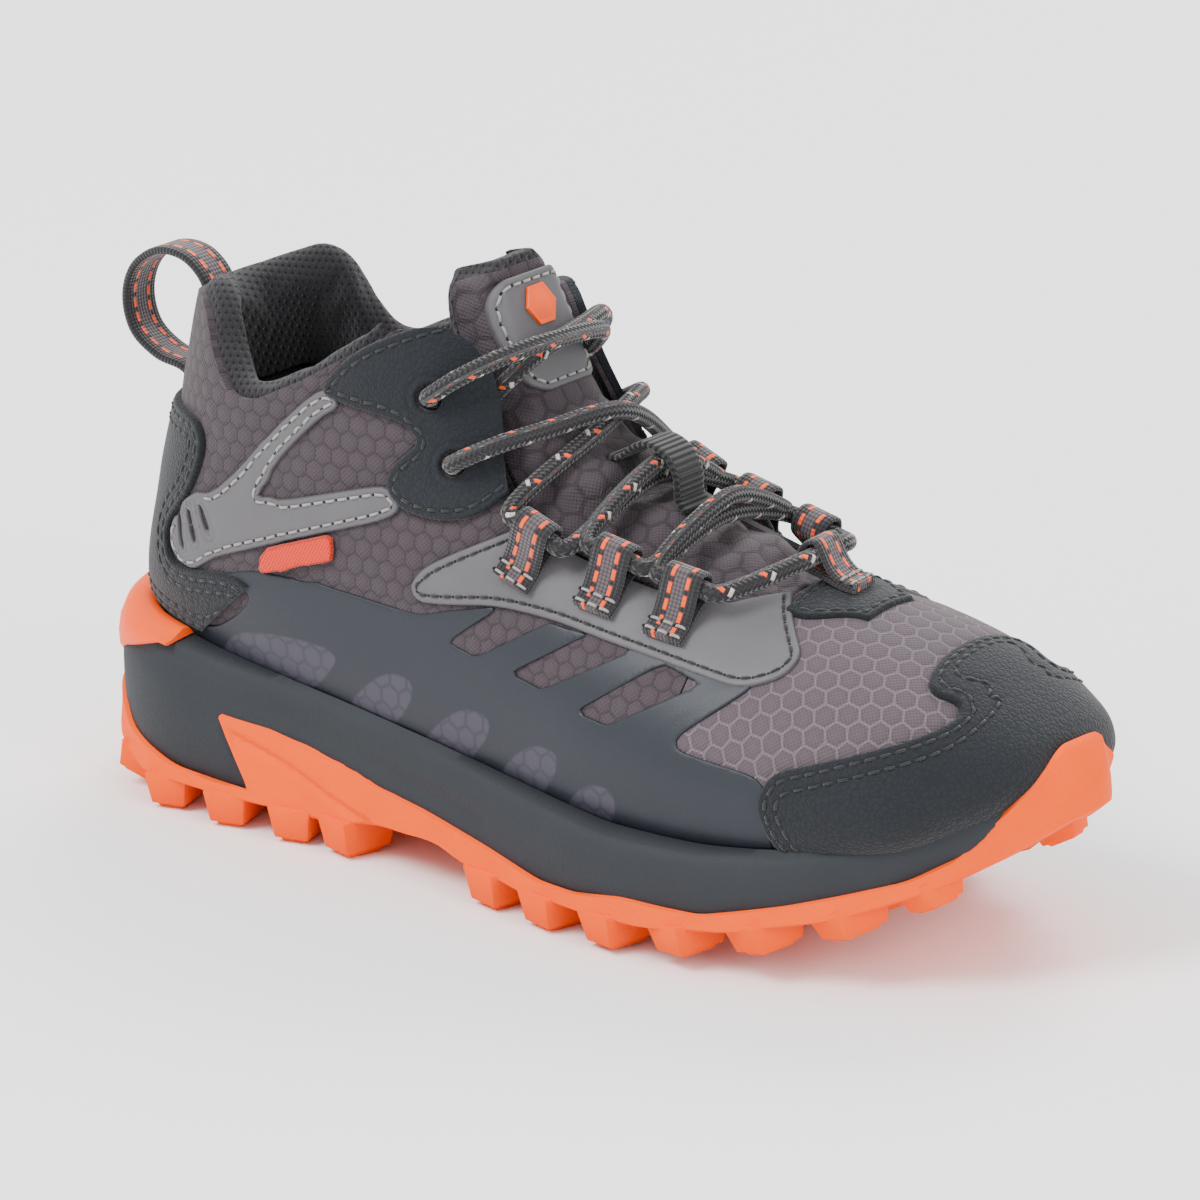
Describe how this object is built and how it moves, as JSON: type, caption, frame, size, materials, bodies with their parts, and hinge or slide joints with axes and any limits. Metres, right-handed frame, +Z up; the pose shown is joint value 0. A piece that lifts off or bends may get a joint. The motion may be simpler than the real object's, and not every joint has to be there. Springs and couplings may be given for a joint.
{
  "type": "hiking boot",
  "caption": "Right hiking boot in child size, mid height: lugged rubber sole, textile and nubuck upper, laced through webbing loops, with a heel pull loop.",
  "frame": {"origin": "middle of the bounding box, on the ground under the tread", "axes": "+X towards the toe, +Y towards the inner (medial) side of this right boot, +Z up"},
  "size_m": [0.2242, 0.0864, 0.1177],
  "materials": {
    "rubber": "matt moulded outsole rubber",
    "foam": "matt moulded foam",
    "tpu": "satin moulded clip",
    "steel": "plain sheet",
    "board": "non-woven board",
    "footbed": "brushed textile over foam",
    "textile": "embossed hexagon ripstop",
    "lining": "knitted padded lining",
    "membrane": "laminated membrane",
    "stiffener": "non-woven stiffener",
    "nubuck": "pebbled nubuck",
    "synthetic": "smooth matt synthetic",
    "film": "satin welded film",
    "webbing": "woven webbing",
    "lace": "round braid with flecks",
    "badge": "satin moulded badge",
    "label": "woven label",
    "aglet": "clear plastic tip"
  },
  "bodies": {
    "boot": {"outsole": "rubber", "midsole": "foam", "heel_clip": "tpu", "shank": "steel", "strobel_board": "board", "footbed": "footbed", "vamp": "textile", "quarter_lateral": "textile", "quarter_medial": "textile", "toe_puff": "stiffener", "heel_counter": "stiffener", "waterproof_bootie": "membrane", "collar_pad": "lining", "tongue_gusset_lateral": "textile", "tongue_gusset_medial": "textile", "toe_cap": "nubuck", "heel_overlay": "nubuck", "throat_tab": "nubuck", "ankle_stay_lateral": "nubuck", "ankle_stay_medial": "nubuck", "y_strap_lateral": "synthetic", "y_strap_medial": "synthetic", "eyestay_lateral": "synthetic", "eyestay_medial": "synthetic", "side_film_lateral": "film", "side_film_medial": "film", "side_tag": "label", "lace_loop_toe": "webbing", "lace": "lace", "aglet_lateral": "aglet", "aglet_medial": "aglet", "lace_loop_lateral_1": "webbing", "lace_loop_lateral_2": "webbing", "lace_loop_lateral_3": "webbing", "lace_loop_medial_1": "webbing", "lace_loop_medial_2": "webbing", "lace_loop_medial_3": "webbing"},
    "tongue_body": {"tongue": "textile", "tongue_patch": "synthetic", "tongue_badge": "badge", "tongue_keeper": "webbing"},
    "pull_loop_body": {"pull_loop": "webbing"}
  },
  "joints": [
    {"name": "tongue_press", "type": "hinge", "parent": "boot", "child": "tongue_body", "pos_m": [0.05097, 0.00176, 0.063], "axis": [0, 1, 0], "range_deg": [-7, 0], "deforming": ["lace", "tongue_gusset_lateral", "tongue_gusset_medial", "waterproof_bootie"]},
    {"name": "pull_loop_flex", "type": "hinge", "parent": "boot", "child": "pull_loop_body", "pos_m": [-0.09423, 0.00176, 0.0805], "axis": [0, 1, 0], "range_deg": [-18, 0]}
  ]
}
